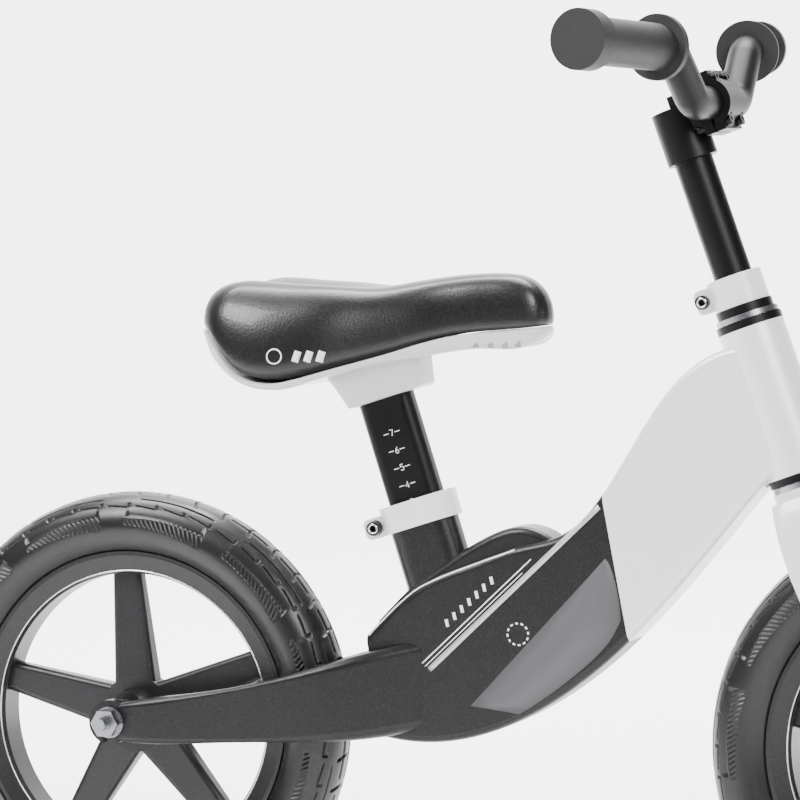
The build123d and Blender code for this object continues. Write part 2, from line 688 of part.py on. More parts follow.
def write_headset():
    save("headset_lower_cup", HEAD, cup(RACE_STACK, -1))
    save("headset_lower_balls", HEAD, *head_balls(RACE_STACK, -1))
    save("headset_crown_race", HEAD, cone(0, RACE_STACK - CUP_H + CUP_GROOVE_GAP))
    save("headset_upper_cup", HEAD, cup(HEAD_TOP, 1))
    save("headset_upper_balls", HEAD, *head_balls(HEAD_TOP, 1))
    save("headset_upper_race", HEAD, cone(UPPER_RACE_Z, HEAD_TOP + CUP_H - CUP_GROOVE_GAP))
    save("headset_spacer", HEAD, tube(SPACER_R, STEERER_R, SPACER_Z, SPACER_Z + SPACER_H))


# ---- Fork and steerer ----
def blade():
    """One fork blade on the +Y side, in the steering axis's own frame."""
    outer = DROPOUT_INNER + DROPOUT_T / 2
    stations = [
        (-6, 0, 26, 30, 34),
        (-CROWN_H, 0, 40, 17, 34),
        (-0.5 * FORK_LENGTH, 3, 44, 14, 31),
        (-0.8 * FORK_LENGTH, RAKE * 0.6, outer - 2, 11, 27),
        (-FORK_LENGTH + 4, RAKE, outer, DROPOUT_T, 22),
    ]
    sections = []
    for z, x, y, wide, deep in stations:
        plane = Plane(origin=(x, y, z), x_dir=(1, 0, 0), z_dir=(0, 0, -1))
        sections.append(plane * RectangleRounded(deep, wide, min(wide, deep) * BLADE_CORNER_SHARE))
    return loft(sections)


def fork():
    front = wheel_plane(1)
    body = rod(HEAD_TUBE_R, -CROWN_H, 0) + blade() + mirror(blade(), about=Plane.XZ)
    body = HEAD.location * (body - rod(STEERER_R, -CROWN_H - PAST, PAST))
    for lug in dropouts(front):
        body += lug
    for cut in spot_faces(front):
        body -= cut
    body -= front.location * axle_slot()
    side_gap = TYRE_HALF_WIDTH + TYRE_SIDE_GAP
    return body - front.location * rod(TYRE_R + TYRE_ROUND_GAP, -side_gap, side_gap)


def steerer():
    """The tube pressed in the crown, slotted at its top so that the clamp can close it."""
    top = STEERER_TOP - STEERER_SHORT
    slot = Pos(-STEERER_R, 0, top) * Box(STEERER_R / 2, BAR_CLAMP_SLOT, 2 * STEERER_SLOT_L)
    return tube(STEERER_R, STEERER_BORE_R, -CROWN_H, top) - slot


def bar_clamp_place():
    """Along the clamp's bolt, from the middle of its lug."""
    return Pos(-STEERER_R - 2 * BAR_CLAMP_T, 0, STEERER_TOP - BAR_CLAMP_H / 2) * Rot(90, 0, 0)


def bar_clamp():
    low = STEERER_TOP - BAR_CLAMP_H
    reach = STEERER_R + BAR_CLAMP_T
    lug = Pos(-reach - 1, 0, low + BAR_CLAMP_H / 2) * Box(*BAR_CLAMP_LUG)
    lug = fillet(lug.edges().filter_by(Axis.Y), BAR_CLAMP_LUG_R)
    body = rod(reach, low, STEERER_TOP) + lug - rod(STEERER_R, low - PAST, STEERER_TOP + PAST)
    body -= Pos(-reach, 0, low) * Box(1.6 * STEERER_R, BAR_CLAMP_SLOT, 3 * BAR_CLAMP_H)
    return body - bar_clamp_place() * rod(BOLT_R + FIT, -reach, reach)


def cap_screw(tip_seat_top, head_r, key_r):
    """A socket-headed screw: its tip, the seat of its head and the head's top, along Z."""
    tip, seat, top = tip_seat_top
    return rod(BOLT_R, tip, seat) + rod(head_r, seat, top) - rod(key_r, (seat + top) / 2, top + PAST)


def write_fork():
    place = bar_clamp_place()
    nut = Pos(0, 0, BAR_BOLT[0] - NUT_T / 2) * hex_nut(NUT_FLATS, BOLT_R, NUT_T)
    save("fork", Plane.XY, fork())
    save("steerer_tube", HEAD, steerer())
    save("handlebar_clamp", HEAD, bar_clamp())
    save("handlebar_clamp_bolt", HEAD, place * cap_screw(BAR_BOLT, BAR_BOLT_HEAD_R, BOLT_KEY_R))
    save("handlebar_clamp_nut", HEAD, place * nut)


# ---- Handlebar ----
def bar_post():
    return tube(BAR_POST_R, BAR_POST_R - BAR_POST_WALL, STEERER_TOP - POST_IN_STEERER, BAR_ABOVE_RACE)


def bar_centre():
    return Pos(STEM_REACH, 0, BAR_ABOVE_RACE)


def across(piece):
    """Turns a piece that stands along Z to lie along the handlebar's middle."""
    return bar_centre() * Rot(90, 0, 0) * piece


def clamp_jaw(keep_front):
    """The half of the handlebar's clamp ahead of, or behind, the bar's centre."""
    ring = across(rod(BAR_R + STEM_RING_T, -STEM_WIDE / 2, STEM_WIDE / 2))
    size = 2 * STEM_WIDE
    shift = (size + STEM_SPLIT) / 2
    half = Pos(shift if keep_front else -shift, 0, 0) * Box(size, size, size)
    return (ring + bar_centre() * Box(*STEM_EARS)) & bar_centre() * half


def stem_bolt_places():
    places = [Pos(0, y, z) for y in (-STEM_BOLT_Y, STEM_BOLT_Y) for z in (-STEM_BOLT_Z, STEM_BOLT_Z)]
    return [bar_centre() * place * Rot(0, 90, 0) for place in places]


def stem():
    """Stem head: a socket on the post, a neck, and the rear half of the bar's clamp."""
    low = BAR_ABOVE_RACE - STEM_SOCKET_L
    socket = rod(BAR_POST_R + STEM_WALL, low, BAR_ABOVE_RACE + STEM_CAP_T)
    neck = Pos(STEM_REACH / 2, 0, BAR_ABOVE_RACE) * Box(STEM_REACH, STEM_NECK, STEM_NECK)
    body = socket + neck + clamp_jaw(False)
    body -= rod(BAR_POST_R, low - PAST, BAR_ABOVE_RACE)
    body -= across(rod(BAR_R, -STEM_WIDE, STEM_WIDE))
    for place in stem_bolt_places():
        body -= place * rod(BOLT_R, STEM_BOLT[0] - PAST, -STEM_BOLT[0])
    return body


def faceplate():
    """The front half of the bar's clamp, counterbored for the four screw heads."""
    plate = clamp_jaw(True) - across(rod(BAR_R, -STEM_WIDE, STEM_WIDE))
    for place in stem_bolt_places():
        counterbore = rod(STEM_BOLT_HEAD_R + COUNTERBORE_GAP, STEM_BOLT[1], 2 * STEM_BOLT[2])
        plate -= place * (rod(BOLT_R, STEM_BOLT[0], -STEM_BOLT[0]) + counterbore)
    return plate


def bar_path():
    """Half of the handlebar's centre line, from the middle out to the rider's left."""
    points = [
        (0, 0, 0),
        (0, BAR_STRAIGHT, 0),
        (*BAR_KNEE, BAR_RISE),
        (-BAR_SWEEP, BAR_HALF_WIDTH, BAR_RISE + BAR_TIP_LIFT),
    ]
    return FilletPolyline(*points, radius=BAR_BEND_R)


def handlebar():
    start = Plane(origin=(0, 0, 0), x_dir=(1, 0, 0), z_dir=(0, 1, 0))
    half = sweep(start * (Circle(BAR_R) - Circle(BAR_R - BAR_WALL)), path=bar_path())
    return half + mirror(half, about=Plane.XZ)


def grip():
    """A closed-ended grip with a flange at each end, on the rider's left."""
    path = bar_path()
    body = rod(GRIP_R, -GRIP_L, GRIP_CAP_T)
    body += rod(GRIP_GUARD_R, -GRIP_L, -GRIP_L + GRIP_GUARD_T) + rod(GRIP_END_R, *GRIP_END)
    body -= rod(BAR_R, -GRIP_L - PAST, 0)
    return Plane(origin=path @ 1, z_dir=(path % 1).normalized()).location * body


def bar_frame():
    """The handlebar's own frame: level with the ground, at the bar clamp's centre."""
    at = HEAD.from_local_coords((STEM_REACH, 0, BAR_ABOVE_RACE))
    return Plane(origin=at, x_dir=(1, 0, 0), z_dir=(0, 0, 1))


def write_handlebar():
    low = STEERER_TOP - POST_IN_STEERER
    screw = cap_screw(STEM_BOLT, STEM_BOLT_HEAD_R, STEM_BOLT_KEY_R)
    screws = [place * screw for place in stem_bolt_places()]
    save("handlebar_post", HEAD, bar_post())
    save("handlebar_post_plug", HEAD, rod(BAR_POST_R - BAR_POST_WALL, low, low + BAR_PLUG_T))
    save("stem", HEAD, stem())
    save("stem_faceplate", HEAD, faceplate())
    save("stem_bolts", HEAD, *screws)
    save("handlebar", bar_frame(), handlebar())
    save("grip_left", bar_frame(), grip())
    save("grip_right", bar_frame(), mirror(grip(), about=Plane.XZ))


os.makedirs("parts", exist_ok=True)
write_wheel("rear", -1)
write_wheel("front", 1)
save("frame", Plane.XY, frame())
write_seat_clamp()
write_seat()
write_headset()
write_fork()
write_handlebar()
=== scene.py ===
import math

import bmesh
import bpy
import numpy as np
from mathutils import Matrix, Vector
from mathutils.bvhtree import BVHTree


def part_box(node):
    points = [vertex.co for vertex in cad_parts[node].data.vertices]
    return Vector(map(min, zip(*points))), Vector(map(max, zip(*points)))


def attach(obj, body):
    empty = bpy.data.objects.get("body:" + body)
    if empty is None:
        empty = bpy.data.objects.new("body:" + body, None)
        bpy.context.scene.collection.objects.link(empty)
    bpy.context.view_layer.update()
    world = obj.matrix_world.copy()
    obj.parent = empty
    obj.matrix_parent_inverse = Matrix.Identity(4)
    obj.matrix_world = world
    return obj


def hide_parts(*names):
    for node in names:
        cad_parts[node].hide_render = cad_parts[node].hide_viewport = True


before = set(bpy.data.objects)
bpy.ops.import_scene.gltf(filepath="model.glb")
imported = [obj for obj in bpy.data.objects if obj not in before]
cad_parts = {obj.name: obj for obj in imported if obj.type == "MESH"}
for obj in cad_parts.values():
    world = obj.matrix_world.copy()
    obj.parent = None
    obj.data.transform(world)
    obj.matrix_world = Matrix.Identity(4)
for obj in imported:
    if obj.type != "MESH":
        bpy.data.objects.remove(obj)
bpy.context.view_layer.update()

MM = 0.001


# ---- Frame casting ----
# The frame is one magnesium casting, ground at its edges and powder coated. The coat is black with
# fine metal flakes behind a white front, and both leave a faint orange peel that softens highlights.
CLOUD_MM = 60
WHITE_SLANT = (1, 0, 0.195)  # across the line where black meets white
WHITE_FROM = 117.2  # how far along it the white starts
FLAKE_MM = 0.4


def linear(hex_colour):
    """An sRGB hex colour as the linear colour a shader takes."""
    parts = [int(hex_colour[i : i + 2], 16) / 255 for i in (1, 3, 5)]
    return [*(c / 12.92 if c <= 0.04045 else ((c + 0.055) / 1.055) ** 2.4 for c in parts), 1.0]


def add(tree, kind, settings, inputs):
    """Adds a node. Each input is a value, or the output of another node to link from."""
    made = tree.nodes.new(kind)
    for name, value in settings.items():
        setattr(made, name, value)
    for name, value in inputs.items():
        if isinstance(value, bpy.types.NodeSocket):
            tree.links.new(value, made.inputs[name])
        else:
            made.inputs[name].default_value = value
    return made


def start_material(name, **shader_values):
    """A material with its shader's plain values set, and the piece's own coordinates in metres."""
    material = bpy.data.materials.new(name)
    material.use_nodes = True
    tree = material.node_tree
    shader = tree.nodes["Principled BSDF"]
    for socket, value in shader_values.items():
        shader.inputs[socket.replace("_", " ")].default_value = value
    place = add(tree, "ShaderNodeTexCoord", {}, {}).outputs["Object"]
    return material, tree, shader, place


def moulded_detail(tree, shader, place, colours, grain_mm, rough, depth):
    """Colour, roughness and height that vary with one grain and one broad cloud."""
    fine = {"Vector": place, "Scale": 1 / (grain_mm * MM), "Detail": 3.0}
    broad_cloud = {"Vector": place, "Scale": 1 / (CLOUD_MM * MM), "Detail": 2.0}
    grain = add(tree, "ShaderNodeTexNoise", {}, fine)
    cloud = add(tree, "ShaderNodeTexNoise", {}, broad_cloud)
    mix = add(tree, "ShaderNodeMix", {"data_type": "RGBA"}, {0: cloud.outputs["Fac"]})
    mix.inputs[6].default_value = linear(colours[0])
    mix.inputs[7].default_value = linear(colours[1])
    tree.links.new(mix.outputs[2], shader.inputs["Base Color"])
    levels = {"From Min": 0.3, "From Max": 0.7, "To Min": rough[0], "To Max": rough[1]}
    spread = add(tree, "ShaderNodeMapRange", {}, {"Value": grain.outputs["Fac"], **levels})
    tree.links.new(spread.outputs["Result"], shader.inputs["Roughness"])
    relief = {"Height": grain.outputs["Fac"], "Distance": depth * MM, "Strength": 0.6}
    bump = add(tree, "ShaderNodeBump", {}, relief)
    tree.links.new(bump.outputs["Normal"], shader.inputs["Normal"])
    return mix


def flake_powder_coat(name, black, flake, white=None):
    """Flakes are drawn 0.4 mm across, where real ones are 0.1 mm, so that they can be seen."""
    material, tree, shader, place = start_material(name, IOR=1.5, Metallic=0.25)
    base = moulded_detail(tree, shader, place, (black, black), 0.9, (0.3, 0.42), 0.05)
    cells = add(tree, "ShaderNodeTexVoronoi", {}, {"Vector": place, "Scale": 1 / (FLAKE_MM * MM)})
    spark = add(
        tree, "ShaderNodeMapRange", {}, {"Value": cells.outputs["Color"], "From Min": 0.72, "From Max": 0.95}
    )
    flaked = add(tree, "ShaderNodeMix", {"data_type": "RGBA"}, {0: spark.outputs["Result"]})
    tree.links.new(base.outputs[2], flaked.inputs[6])
    flaked.inputs[7].default_value = linear(flake)
    top = flaked
    if white:
        side = add(tree, "ShaderNodeVectorMath", {"operation": "DOT_PRODUCT"}, {0: place, 1: WHITE_SLANT})
        limits = {0: side.outputs["Value"], 1: WHITE_FROM * MM}
        ahead = add(tree, "ShaderNodeMath", {"operation": "GREATER_THAN"}, limits)
        top = add(tree, "ShaderNodeMix", {"data_type": "RGBA"}, {0: ahead.outputs[0]})
        tree.links.new(flaked.outputs[2], top.inputs[6])
        top.inputs[7].default_value = linear(white)
    tree.links.new(top.outputs[2], shader.inputs["Base Color"])
    return material


def coat(material, *nodes):
    """Gives CAD pieces that are already the right shape their finish."""
    for node in nodes:
        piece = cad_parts[node]
        piece.data.materials.clear()
        piece.data.materials.append(material)


def mesh_piece(name, points, faces, material, body, smooth=True):
    """A piece from its points in millimetres and its faces, riding on a body."""
    mesh = bpy.data.meshes.new(name)
    mesh.from_pydata([tuple(MM * c for c in p) for p in points], [], faces)
    mesh.materials.append(material)
    mesh.polygons.foreach_set("use_smooth", [smooth] * len(mesh.polygons))
    piece = bpy.data.objects.new(name, mesh)
    bpy.context.scene.collection.objects.link(piece)
    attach(piece, body)
    return piece


coat(flake_powder_coat("powder_coat_black_and_white", "#0e0e10", "#313136", "#f4f4f5"), "frame")

# ---- Frame graphics ----
# Cut vinyl laid on the flat cheeks of the casting, about 0.2 mm thick. The marks are plain bands,
# bars and a dashed ring, in white, silver and grey film.
FILM_T = 0.15
BARS, BAR_LONG, BAR_WIDE = 7, 5.0, 2.2
DASHES, DASH_RING_R, DASH_WIDE = 12, 7.2, 1.2


def film(name, colour, rough, metal):
    material, tree, shader, place = start_material(name, IOR=1.5, Metallic=metal)
    moulded_detail(tree, shader, place, (colour, colour), 0.4, (rough, rough + 0.1), 0.02)
    return material


# White vinyl looks matt and flat, silver vinyl brightens as it turns, and grey vinyl stays dull.
white_film = film("vinyl_white", "#f1f1f1", 0.35, 0.0)
silver_film = film("vinyl_silver", "#c3c4c6", 0.3, 0.5)
grey_film = film("vinyl_grey", "#5a585b", 0.45, 0.3)


def skin_of(piece):
    """The shape of a piece as it stands, for rays to meet."""
    bpy.context.view_layer.update()
    shape = piece.evaluated_get(bpy.context.evaluated_depsgraph_get()).to_mesh()
    points = [piece.matrix_world @ v.co for v in shape.vertices]
    return BVHTree.FromPolygons(points, [tuple(p.vertices) for p in shape.polygons])


def lay(name, rows, skin, material, body):
    """A thin film on both sides of a piece: rows of (ahead, up) points, each row the same length."""
    across = len(rows[0])
    for hand, side in ((-1, "right"), (1, "left")):
        points = []
        for x, z in (p for row in rows for p in row):
            hit = skin.ray_cast(Vector((x, hand * 150, z)) * MM, Vector((0, -hand, 0)))
            spot = hit[0] + hit[1] * FILM_T * MM
            points.append(tuple(c / MM for c in spot))
        faces = []
        for i in range(len(rows) - 1):
            for j in range(across - 1):
                first = i * across + j
                faces.append((first, first + 1, first + across + 1, first + across))
        mark = mesh_piece(f"{name}_{side}", points, faces, material, body)
        thick = mark.modifiers.new("thickness", "SOLIDIFY")
        thick.thickness, thick.offset = FILM_T * MM, 0.0


def smooth_through(points, steps):
    """Points along a smooth curve that passes through the given ones."""
    points = [np.array(p, float) for p in points]
    padded = [2 * points[0] - points[1], *points, 2 * points[-1] - points[-2]]
    out = []
    for a, b, c, d in zip(padded, padded[1:], padded[2:], padded[3:]):
        for t in np.linspace(0, 1, steps, endpoint=False):
            bend = (2 * a - 5 * b + 4 * c - d) * t**2 + (3 * b - a - 3 * c + d) * t**3
            out.append(0.5 * (2 * b + (c - a) * t + bend))
    return out + [points[-1]]


def ribbon(line, width):
    """Rows for a band of even width along a line of (ahead, up) points."""
    line = [Vector(p) for p in line]
    rows = []
    for i, p in enumerate(line):
        along = (line[min(i + 1, len(line) - 1)] - line[max(i - 1, 0)]).normalized()
        side = Vector((-along.y, along.x)) * width / 2
        rows.append([tuple(p + side), tuple(p), tuple(p - side)])
    return rows


def straight(start, end, steps=40):
    return [Vector(start).lerp(Vector(end), t) for t in np.linspace(0, 1, steps)]


def frame_mark(name, rows, material):
    lay(name, rows, frame_skin, material, "frame")


frame_skin = skin_of(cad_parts["frame"])
frame_mark("stripe_silver", ribbon(straight((-63, 193), (54.5, 305)), 3.6), silver_film)
frame_mark("stripe_fine", ribbon(straight((-68, 197), (8, 269)), 0.8), white_film)
frame_mark("stripe_finest", ribbon(straight((-66, 195), (2, 259.7)), 0.6), white_film)
cheek_edge = [(-106, 214), (-99.8, 221), (-77.2, 242.6), (-58.3, 253.4)]
cheek_edge += [(-31, 264.4), (-10, 272.2), (-4, 274.6)]
frame_mark("cheek_line", ribbon(smooth_through(cheek_edge, 8), 1.0), white_film)
panel_back = straight((20, 228.6), (58.5, 270.5), 12)
panel_front = [(70, 231), (69.6, 235), (69.2, 239), (68.7, 243), (68, 247), (67.2, 251), (66.3, 255)]
panel_front += [(65.2, 259), (63.9, 262.5), (62.6, 266), (61, 269), (59.5, 271)]
panel_heel = straight((-34, 170), (20, 228.6), 12)
panel_toe = smooth_through([(0, 166), (20, 179), (44, 198), (61, 215), (70, 231)], 3)[:12]
panel_toe[-1] = np.array((70.0, 231.0))
panel = [*zip(panel_heel[:-1], panel_toe[:-1]), *zip(panel_back, panel_front)]
frame_mark("grey_panel", [[b, Vector(b).lerp(Vector(f), 0.5), f] for b, f in panel], grey_film)
for i in range(BARS):
    foot = Vector((-50, 222)) + i * Vector((5.2, 4.9))
    line = straight(foot, foot + Vector((-1.2, BAR_LONG)), 4)
    frame_mark(f"bar_{i + 1}", ribbon(line, BAR_WIDE), white_film)
for i in range(DASHES):
    arc = [math.radians(360 / DASHES * i + 5 * t) for t in range(4)]
    dash = [(-1 + DASH_RING_R * math.cos(a), 219 + DASH_RING_R * math.sin(a)) for a in arc]
    frame_mark(f"ring_dash_{i + 1}", ribbon(dash, DASH_WIDE), white_film)


def tidy_normals(piece):
    """Turns every face outwards."""
    work = bmesh.new()
    work.from_mesh(piece.data)
    bmesh.ops.recalc_face_normals(work, faces=work.faces)
    work.to_mesh(piece.data)
    work.free()


# ---- Headset, axles and small hardware ----
# Steel pieces are zinc plated and tumbled, so they are bright but never mirror-like. The cups are
# black anodised aluminium, and the seals and plugs are moulded nylon.
def plated(name, colour, rough):
    material, tree, shader, place = start_material(name, Metallic=1.0)
    moulded_detail(tree, shader, place, (colour, "#9a9ba0"), 0.6, (rough, rough + 0.14), 0.02)
    return material


def anodised(name, colour):
    material, tree, shader, place = start_material(name, Metallic=0.6)
    moulded_detail(tree, shader, place, (colour, colour), 0.5, (0.34, 0.46), 0.02)
    return material


zinc = plated("zinc_plated_steel", "#a6a7ab", 0.22)
black_anodised = anodised("black_anodised_aluminium", "#0f0f10")
nylon, tree, shader, place = start_material("moulded_nylon", IOR=1.53)
moulded_detail(tree, shader, place, ("#19191a", "#222223"), 0.7, (0.45, 0.6), 0.04)

steel_ends = ("_axle", "_spacers", "_washers", "_nuts", "_races", "_balls")
steel_ends += ("_valve", "_race", "_bolt", "_washer", "_nut", "_screws")
hardware = [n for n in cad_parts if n.endswith(steel_ends)]
coat(zinc, *hardware, "steerer_tube")
coat(black_anodised, "seat_clamp_bolt", "handlebar_clamp_bolt")
coat(black_anodised, "headset_lower_cup", "headset_upper_cup", "headset_spacer")
coat(black_anodised, "seat_post", "handlebar_post")
coat(black_anodised, "stem", "stem_faceplate", "handlebar", "stem_bolts")
nylon_ends = ("_plug", "_valve_cap", "_bearing_seals")
coat(nylon, *[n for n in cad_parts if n.endswith(nylon_ends)], "seat_post_head")

# ---- Fork and clamps ----
# The fork is a second magnesium casting and the two clamps are aluminium extrusion. All three are
# sprayed white and cleared, so they are smooth and glossy with only a trace of orange peel.
gloss_white, tree, shader, place = start_material("sprayed_white_enamel", IOR=1.5, Coat_Weight=0.3)
moulded_detail(tree, shader, place, ("#ededee", "#e6e6e8"), 1.6, (0.22, 0.32), 0.03)
coat(gloss_white, "fork", "seat_clamp", "handlebar_clamp")

# ---- Wheels ----
# Each wheel is one five-spoke casting with a satin black coat. A fine bright metal ring round the inner
# edge of the rim, on both faces, is a painted highlight that stands in for the light caught by that edge.
RIM_LINE_R, RIM_LINE_Y, RIM_LINE_THICK_R = 99.1, 14.15, 0.55
satin_black = flake_powder_coat("satin_black_coat", "#1f1f21", "#39393c")
# The bright metal below is used only for painted highlights: the rim rings and the rings on the clamp bolt
# heads.
highlight_metal, tree, shader, place = start_material("painted_highlight_bright_metal", Metallic=1.0)
moulded_detail(tree, shader, place, ("#e6e6e8", "#d4d4d8"), 0.5, (0.2, 0.3), 0.02)
coat(satin_black, "front_wheel", "rear_wheel")


def revolved(name, centre, profile, turns, material, body):
    """A ring about a wheel's axle, from a profile of (radius, across) points."""
    count = len(profile)
    points = []
    for i in range(turns):
        angle = 2 * math.pi * i / turns
        for radius, across in profile:
            ahead, up = radius * math.cos(angle), radius * math.sin(angle)
            points.append((centre[0] + ahead, across, centre[1] + up))
    faces = []
    for i in range(turns):
        here, there = i * count, (i + 1) % turns * count
        for j in range(count):
            k = (j + 1) % count
            faces.append((here + j, here + k, there + k, there + j))
    return mesh_piece(name, points, faces, material, body)


def axle_centre(end):
    """A wheel's centre as (ahead, up) in millimetres, from its tyre's box."""
    low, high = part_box(f"{end}_tyre")
    middle = (low + high) / 2 / MM
    return middle.x, middle.z


# A thin bright ring on each face of each rim, a painted highlight along the rim's inner edge.
for end in ("front", "rear"):
    for side in (-1, 1):
        circle = [
            (RIM_LINE_R + RIM_LINE_THICK_R * math.cos(a), side * RIM_LINE_Y + RIM_LINE_THICK_R * math.sin(a))
            for a in np.linspace(0, 2 * math.pi, 8, endpoint=False)
        ]
        name = f"{end}_rim_line_{'left' if side > 0 else 'right'}"
        line = revolved(name, axle_centre(end), circle, 240, highlight_metal, f"{end}_wheel")
        tidy_normals(line)

# ---- Clamp bolt face highlights ----
# Each clamp bolt is blackened steel. The bright metal ring laid on its head between the rim and the
# hexagon socket is a painted highlight, standing in for the light that the flat face catches.
for name, body in (("seat_clamp_bolt", "frame"), ("handlebar_clamp_bolt", "steering")):
    low, high = (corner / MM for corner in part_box(name))
    middle = (low + high) / 2
    head_r = (high.x - low.x) / 2
    corners = ((0.5, -0.08), (0.78, -0.08), (0.78, 0.4), (0.5, 0.4))
    highlight_ring = [(share * head_r, low.y + dy) for share, dy in corners]
    bright = revolved(f"{name}_face", (middle.x, middle.z), highlight_ring, 48, highlight_metal, body)
    tidy_normals(bright)

# ---- Tyres ----
# Moulded black rubber. On each shoulder the mould leaves long curved grooves and stepped, hooked
# ones; below them lie a plain bevelled patch and slanted teeth like a file's, in eleven groups.
GROUPS = 11
CROWN_R = 152.0
WIDEST_R = 129.25
HALF_WIDTH = 26.5
LIP_R, LIP_Y = 113.1, 17.5
GROUP_END_DEG = 64.7
LEAN_PER_TILT = math.pi / 2 * 1.32


def band(value, low, high, soft):
    """1 between low and high, falling to 0 over a distance of soft inside each end."""
    return np.clip((value - low) / soft, 0, 1) * np.clip((high - value) / soft, 0, 1)


def tread_depth(turn, tilt, hand):
    """How far the mould sinks below the plain tyre, in mm; tilt is 0 at the crown and 1 at the bead."""
    shift = np.where(hand > 0, 0.5, 0.0)
    part = ((GROUP_END_DEG / 360 - turn) * GROUPS + shift) % 1.0
    sweep = 0.26 + 0.07 * (part - 0.5) ** 2
    depth = 1.5 * band(tilt, sweep, sweep + 0.03, 0.01) * band(part, 0.3, 0.98, 0.02)
    step = (part * 4) % 1.0
    hook = 0.385 + 0.045 * step - 0.02 * (part - 0.6)
    depth = np.maximum(depth, 1.6 * band(tilt, hook, hook + 0.028, 0.01) * band(step, 0.12, 0.9, 0.06))
    riser = band(step, 0.84, 0.95, 0.04) * band(tilt, 0.36, 0.45, 0.012)
    depth = np.maximum(depth, 1.6 * riser)
    centre = band(tilt, 0.05, 0.085, 0.012) * band((part * 2) % 1.0, 0.1, 0.85, 0.04)
    cross = band((part * 4 - 0.9 * tilt) % 1.0, 0.84, 0.96, 0.04) * band(tilt, 0.0, 0.2, 0.03)
    depth = np.maximum(depth, 1.7 * np.maximum(centre, cross))
    bevel = np.clip((tilt - 0.44) / 0.12, 0, 1) * band(tilt, 0.44, 0.6, 0.01) * band(part, 0.22, 0.97, 0.03)
    depth = np.maximum(depth, 1.0 * bevel)
    reach = 0.03 + 0.075 * np.clip((part - 0.2) / 0.75, 0, 1)
    tooth = 0.5 + 0.5 * np.cos(2 * math.pi * (part * 22 - 8.5 * tilt))
    zone = band(tilt, 0.66 - reach, 0.68 + reach, 0.015) * band(part, 0.2, 0.98, 0.02)
    return depth + 1.0 * zone * tooth**1.5


def tyre_section(turn, tilt):
    """(radius, across) of the moulded surface; both are arrays."""
    reach, hand = np.abs(tilt), np.sign(tilt)
    lean = reach * LEAN_PER_TILT
    sunk = tread_depth(turn, reach, hand)
    fall = np.clip((lean - math.pi / 2) / (LEAN_PER_TILT - math.pi / 2), 0, 1)
    upper = lean < math.pi / 2
    radius = np.where(
        upper, WIDEST_R + (CROWN_R - WIDEST_R - sunk) * np.cos(lean), WIDEST_R + (LIP_R - WIDEST_R) * fall
    )
    side = np.where(
        upper,
        (HALF_WIDTH - sunk) * np.sin(np.minimum(lean, math.pi / 2)) ** 0.92,
        HALF_WIDTH - sunk + (LIP_Y - HALF_WIDTH) * fall**1.9,
    )
    return radius, hand * side


def tyre_piece(end):
    centre = axle_centre(end)
    turns = 1320
    crown, shoulder = np.linspace(0, 0.24, 16)[:-1], np.linspace(0.24, 0.84, 70)
    wall = np.linspace(0.84, 1, 10)[1:]
    half = np.concatenate([crown, shoulder, wall])
    tilts = np.concatenate([-half[::-1], half[1:]])
    bead = [(LIP_R, 14.6), (107.0, 14.3), (107.0, 10.0), (112.0, 9.0), (112.0, -9.0), (107.0, -10.0)]
    bead += [(107.0, -14.3), (LIP_R, -14.6)]
    turn = np.repeat(np.arange(turns)[:, None] / turns, len(tilts), axis=1)
    radius, side = tyre_section(turn, np.repeat(tilts[None, :], turns, axis=0))
    radius = np.hstack([radius, np.tile([r for r, _ in bead], (turns, 1))])
    side = np.hstack([side, np.tile([y for _, y in bead], (turns, 1))])
    angle = 2 * math.pi * np.arange(turns)[:, None] / turns
    count = radius.shape[1]
    points = np.stack([centre[0] + radius * np.cos(angle), side, centre[1] + radius * np.sin(angle)], axis=-1)
    here = np.arange(turns)[:, None] * count
    there = (np.arange(turns)[:, None] + 1) % turns * count
    j, k = np.arange(count)[None, :], (np.arange(count)[None, :] + 1) % count
    faces = np.stack([here + j, here + k, there + k, there + j], axis=-1).reshape(-1, 4)
    piece = mesh_piece(f"{end}_tyre_moulded", points.reshape(-1, 3), faces.tolist(), rubber, f"{end}_wheel")
    tidy_normals(piece)
    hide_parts(f"{end}_tyre")


rubber, tree, shader, place = start_material("moulded_tyre_rubber", IOR=1.52)
moulded_detail(tree, shader, place, ("#0b0b0c", "#111113"), 0.8, (0.27, 0.42), 0.1)
coat(rubber, "front_inner_tube", "rear_inner_tube")
for end in ("front", "rear"):
    tyre_piece(end)

# ---- Seat post scale ----
# The seat post is an oblong aluminium tube. Its height scale is screen printed in white ink on
# the rider's right: a numeral between two dashes every 12 mm.
LEAN = math.radians(18)
CLAMP_TOP = Vector((-79.0, 0, 305.0))
POST_FACE_Y = -10.0
MARK_PITCH = 12.0
ink = film("screen_print_white", "#f4f4f4", 0.5, 0.0)


def on_post(ahead, up, proud):
    """A point on the post's right face, across and along the post, in millimetres."""
    across = Vector((math.cos(LEAN), 0, math.sin(LEAN)))
    along = Vector((-math.sin(LEAN), 0, math.cos(LEAN)))
    return CLAMP_TOP + ahead * across + up * along + Vector((0, POST_FACE_Y - proud, 0))


